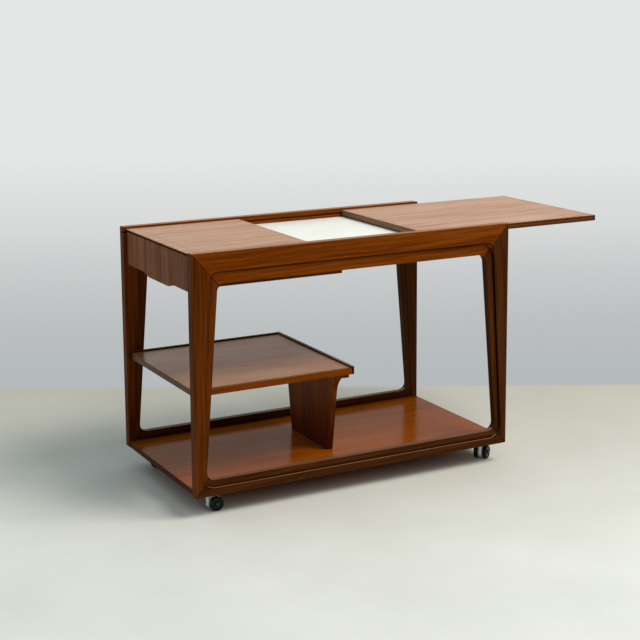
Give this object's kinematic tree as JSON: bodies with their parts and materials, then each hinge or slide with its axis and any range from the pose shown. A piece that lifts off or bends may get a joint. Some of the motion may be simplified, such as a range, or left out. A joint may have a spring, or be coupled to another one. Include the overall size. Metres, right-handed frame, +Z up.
{
  "type": "bar cart",
  "caption": "Teak bar cart: mitred side frames, sliding top leaves over a white well, end drawer, middle shelf on a flared pier, swivel casters.",
  "frame": {"origin": "on the floor, under the middle of the two upright frames", "axes": "+X along the cart towards the end where the right leaf slides out, -X the drawer end, -Y the front, +Z up"},
  "size_m": [1.204, 0.476, 0.649],
  "materials": {
    "frame_teak": "oiled teak, satin",
    "joint_wood": "bare beech",
    "board_core": "bare plywood",
    "white_laminate": "white decorative laminate, semi-gloss",
    "panel_teak": "teak veneer, lacquered",
    "edge_teak": "solid teak edging, satin",
    "pier_teak": "dark teak, satin",
    "leaf_teak": "teak veneer, satin",
    "drawer_teak": "teak veneer, satin, upright grain",
    "drawer_sides": "solid teak, satin",
    "drawer_wood": "pale beech",
    "screw_steel": "zinc plated",
    "caster_metal": "nickel plated, dull",
    "axle_steel": "blackened steel",
    "wheel_black": "black nylon wheel with a rubber tread"
  },
  "bodies": {
    "carcass": {"front_top_rail": "frame_teak", "front_bottom_rail": "frame_teak", "front_left_leg": "frame_teak", "front_right_leg": "frame_teak", "back_top_rail": "frame_teak", "back_bottom_rail": "frame_teak", "back_left_leg": "frame_teak", "back_right_leg": "frame_teak", "right_end_rail": "frame_teak", "front_mitre_splines": "joint_wood", "back_mitre_splines": "joint_wood", "side_dowels": "joint_wood", "pier_dowels": "joint_wood", "well_board": "board_core", "well_laminate": "white_laminate", "bottom_panel": "panel_teak", "shelf_panel": "panel_teak", "shelf_pier": "pier_teak", "shelf_front_lipping": "edge_teak", "shelf_end_rim": "edge_teak", "shelf_back_rim": "edge_teak", "front_runner": "drawer_wood", "back_runner": "drawer_wood", "runner_screws": "screw_steel", "caster_screws": "screw_steel", "front_left_caster_plate": "caster_metal", "front_right_caster_plate": "caster_metal", "back_left_caster_plate": "caster_metal", "back_right_caster_plate": "caster_metal"},
    "left_leaf": {"left_leaf_panel": "leaf_teak", "left_leaf_front_edge": "edge_teak", "left_leaf_back_edge": "edge_teak", "left_leaf_inner_end": "edge_teak", "left_leaf_outer_end": "edge_teak"},
    "right_leaf": {"right_leaf_panel": "leaf_teak", "right_leaf_front_edge": "edge_teak", "right_leaf_back_edge": "edge_teak", "right_leaf_inner_end": "edge_teak", "right_leaf_outer_end": "edge_teak"},
    "drawer": {"drawer_front": "drawer_teak", "drawer_back": "drawer_sides", "drawer_bottom": "drawer_wood", "drawer_near_side": "drawer_sides", "drawer_far_side": "drawer_sides"},
    "front_left_swivel": {"front_left_caster_hood": "caster_metal", "front_left_caster_axle": "axle_steel"},
    "front_left_near_wheel": {"front_left_near_wheel": "wheel_black"},
    "front_left_far_wheel": {"front_left_far_wheel": "wheel_black"},
    "front_right_swivel": {"front_right_caster_hood": "caster_metal", "front_right_caster_axle": "axle_steel"},
    "front_right_near_wheel": {"front_right_near_wheel": "wheel_black"},
    "front_right_far_wheel": {"front_right_far_wheel": "wheel_black"},
    "back_left_swivel": {"back_left_caster_hood": "caster_metal", "back_left_caster_axle": "axle_steel"},
    "back_left_near_wheel": {"back_left_near_wheel": "wheel_black"},
    "back_left_far_wheel": {"back_left_far_wheel": "wheel_black"},
    "back_right_swivel": {"back_right_caster_hood": "caster_metal", "back_right_caster_axle": "axle_steel"},
    "back_right_near_wheel": {"back_right_near_wheel": "wheel_black"},
    "back_right_far_wheel": {"back_right_far_wheel": "wheel_black"}
  },
  "joints": [
    {"name": "left_leaf_slide", "type": "slide", "parent": "carcass", "child": "left_leaf", "axis": [1, 0, 0], "range_m": [0, 0.3175]},
    {"name": "right_leaf_slide", "type": "slide", "parent": "carcass", "child": "right_leaf", "axis": [1, 0, 0], "range_m": [-0.3175, 0]},
    {"name": "drawer_slide", "type": "slide", "parent": "carcass", "child": "drawer", "axis": [-1, 0, 0], "range_m": [0, 0.3]},
    {"name": "front_left_swivel_turn", "type": "hinge", "parent": "carcass", "child": "front_left_swivel", "pos_m": [-0.3995, -0.19, 0.04], "axis": [0, 0, 1], "continuous": true},
    {"name": "front_left_near_wheel_turn", "type": "hinge", "parent": "front_left_swivel", "child": "front_left_near_wheel", "pos_m": [-0.38204, -0.18878, 0.018], "axis": [0.0698, -0.9976, 0], "continuous": true},
    {"name": "front_left_far_wheel_turn", "type": "hinge", "parent": "front_left_swivel", "child": "front_left_far_wheel", "pos_m": [-0.38204, -0.18878, 0.018], "axis": [0.0698, -0.9976, 0], "continuous": true},
    {"name": "front_right_swivel_turn", "type": "hinge", "parent": "carcass", "child": "front_right_swivel", "pos_m": [0.3995, -0.19, 0.04], "axis": [0, 0, 1], "continuous": true},
    {"name": "front_right_near_wheel_turn", "type": "hinge", "parent": "front_right_swivel", "child": "front_right_near_wheel", "pos_m": [0.41348, -0.17947, 0.018], "axis": [0.6018, -0.7986, 0], "continuous": true},
    {"name": "front_right_far_wheel_turn", "type": "hinge", "parent": "front_right_swivel", "child": "front_right_far_wheel", "pos_m": [0.41348, -0.17947, 0.018], "axis": [0.6018, -0.7986, 0], "continuous": true},
    {"name": "back_left_swivel_turn", "type": "hinge", "parent": "carcass", "child": "back_left_swivel", "pos_m": [-0.3995, 0.19, 0.04], "axis": [0, 0, 1], "continuous": true},
    {"name": "back_left_near_wheel_turn", "type": "hinge", "parent": "back_left_swivel", "child": "back_left_near_wheel", "pos_m": [-0.38351, 0.18288, 0.018], "axis": [-0.4067, -0.9135, 0], "continuous": true},
    {"name": "back_left_far_wheel_turn", "type": "hinge", "parent": "back_left_swivel", "child": "back_left_far_wheel", "pos_m": [-0.38351, 0.18288, 0.018], "axis": [-0.4067, -0.9135, 0], "continuous": true},
    {"name": "back_right_swivel_turn", "type": "hinge", "parent": "carcass", "child": "back_right_swivel", "pos_m": [0.3995, 0.19, 0.04], "axis": [0, 0, 1], "continuous": true},
    {"name": "back_right_near_wheel_turn", "type": "hinge", "parent": "back_right_swivel", "child": "back_right_near_wheel", "pos_m": [0.40745, 0.20559, 0.018], "axis": [0.891, -0.454, 0], "continuous": true},
    {"name": "back_right_far_wheel_turn", "type": "hinge", "parent": "back_right_swivel", "child": "back_right_far_wheel", "pos_m": [0.40745, 0.20559, 0.018], "axis": [0.891, -0.454, 0], "continuous": true}
  ]
}
